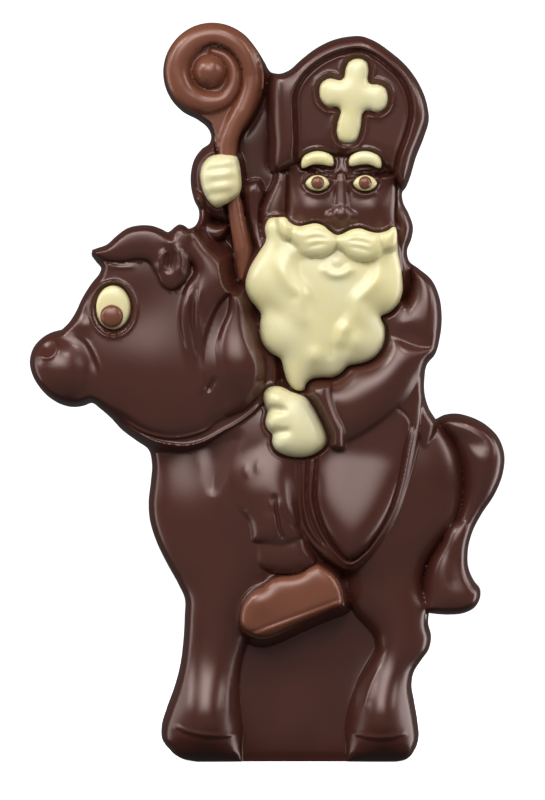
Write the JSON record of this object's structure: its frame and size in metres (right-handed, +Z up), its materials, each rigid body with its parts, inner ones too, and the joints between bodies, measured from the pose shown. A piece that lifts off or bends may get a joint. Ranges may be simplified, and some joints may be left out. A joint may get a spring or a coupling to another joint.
{
  "type": "moulded chocolate figure",
  "caption": "Moulded chocolate figure of a bearded rider with mitre and crozier on a small horse, flat back and foot, with milk and white chocolate inlays",
  "frame": {"origin": "middle of the box at the height of the flat foot it stands on", "axes": "+Z up along the rider, the longest extent; the relief front looks along -Y, through the thickness, the shortest extent; +X to the figure's right as seen from the front"},
  "size_m": [0.1289, 0.0295, 0.2002],
  "materials": {
    "dark_chocolate": "dark chocolate cast in a polished mould, satin gloss",
    "milk_chocolate": "milk chocolate cast in a polished mould, satin gloss",
    "white_chocolate": "white chocolate cast in a polished mould, satin gloss"
  },
  "bodies": {
    "root": {"body": "dark_chocolate", "crook": "milk_chocolate", "staff": "milk_chocolate", "shoe": "milk_chocolate", "left_pupil": "milk_chocolate", "right_pupil": "milk_chocolate", "horse_pupil": "milk_chocolate", "beard": "white_chocolate", "staff_glove": "white_chocolate", "rein_glove": "white_chocolate", "cross": "white_chocolate", "left_brow": "white_chocolate", "right_brow": "white_chocolate", "left_eye": "white_chocolate", "right_eye": "white_chocolate", "horse_eye": "white_chocolate"}
  },
  "joints": []
}
